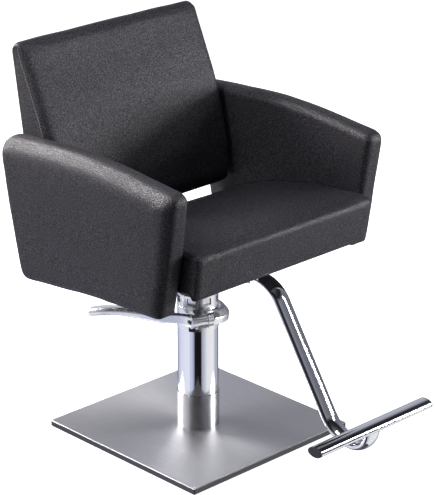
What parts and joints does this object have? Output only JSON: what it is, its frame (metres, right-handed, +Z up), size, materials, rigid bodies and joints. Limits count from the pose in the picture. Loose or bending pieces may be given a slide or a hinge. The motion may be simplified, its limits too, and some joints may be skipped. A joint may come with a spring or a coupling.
{
  "type": "styling chair",
  "caption": "Upholstered styling chair with padded arms and a back on a hydraulic column, a square steel plate, a pump lever and a bar footrest.",
  "frame": {"origin": "middle of the base's underside, on the column axis", "axes": "+Z up along the column, the sitter faces -Y, the sitter's right hand is on the -X side"},
  "size_m": [0.608, 0.8067, 0.8514],
  "materials": {
    "brushed_plate": "brushed",
    "chrome": "polished",
    "black_steel": "satin",
    "zinc_bolt": "satin",
    "inner_steel": "machined",
    "bronze": "machined",
    "black_rubber": "matte",
    "black_plastic": "matte",
    "plywood": "unfinished",
    "black_board": "painted",
    "upholstery": "fine grain"
  },
  "bodies": {
    "base": {"base_plate": "brushed_plate", "floor_pad": "black_rubber", "base_bolts": "zinc_bolt", "foot_flange": "inner_steel", "base_socket": "chrome", "column_tube": "chrome", "pressure_cylinder": "inner_steel", "skirt_ring": "chrome", "pump_head": "chrome", "guide_bush": "bronze", "rod_seal": "black_rubber", "gland_nut": "zinc_bolt", "lever_bumper": "black_rubber"},
    "pedal": {"lever_arm": "chrome", "hinge_pin": "chrome"},
    "lift": {"piston_rod": "chrome", "piston": "inner_steel", "piston_seal": "black_rubber", "thrust_washer": "bronze", "retaining_washer": "zinc_bolt", "hub_bolt": "zinc_bolt"},
    "chair": {"seat_hub": "chrome", "swivel_bush": "bronze", "mount_plate": "black_steel", "plate_bolts": "zinc_bolt", "back_strap_left": "black_steel", "back_strap_right": "black_steel", "strap_bolts": "zinc_bolt", "arm_bracket_left": "black_steel", "arm_bracket_right": "black_steel", "bracket_bolts": "zinc_bolt", "footrest_leg": "chrome", "footrest_bar": "chrome", "end_plug_left": "black_plastic", "end_plug_right": "black_plastic", "leg_cap": "black_plastic", "footrest_bracket": "chrome", "footrest_bolts": "zinc_bolt", "seat_board": "black_board", "seat_cushion": "upholstery", "arm_panel_left": "plywood", "arm_panel_right": "plywood", "arm_left": "upholstery", "arm_right": "upholstery", "back_panel": "plywood", "backrest": "upholstery"}
  },
  "joints": [
    {"name": "lift", "type": "slide", "parent": "base", "child": "lift", "axis": [0, 0, 1], "range_m": [0, 0.14]},
    {"name": "swivel", "type": "hinge", "parent": "lift", "child": "chair", "pos_m": [0, 0, 0.333], "axis": [0, 0, 1], "continuous": true},
    {"name": "pedal", "type": "hinge", "parent": "base", "child": "pedal", "pos_m": [-0.038, -0.051, 0.276], "axis": [-0.9336, 0.3584, 0], "range_deg": [0, 18], "stiffness_Nm_per_rad": 8, "springref_deg": -14.32}
  ]
}
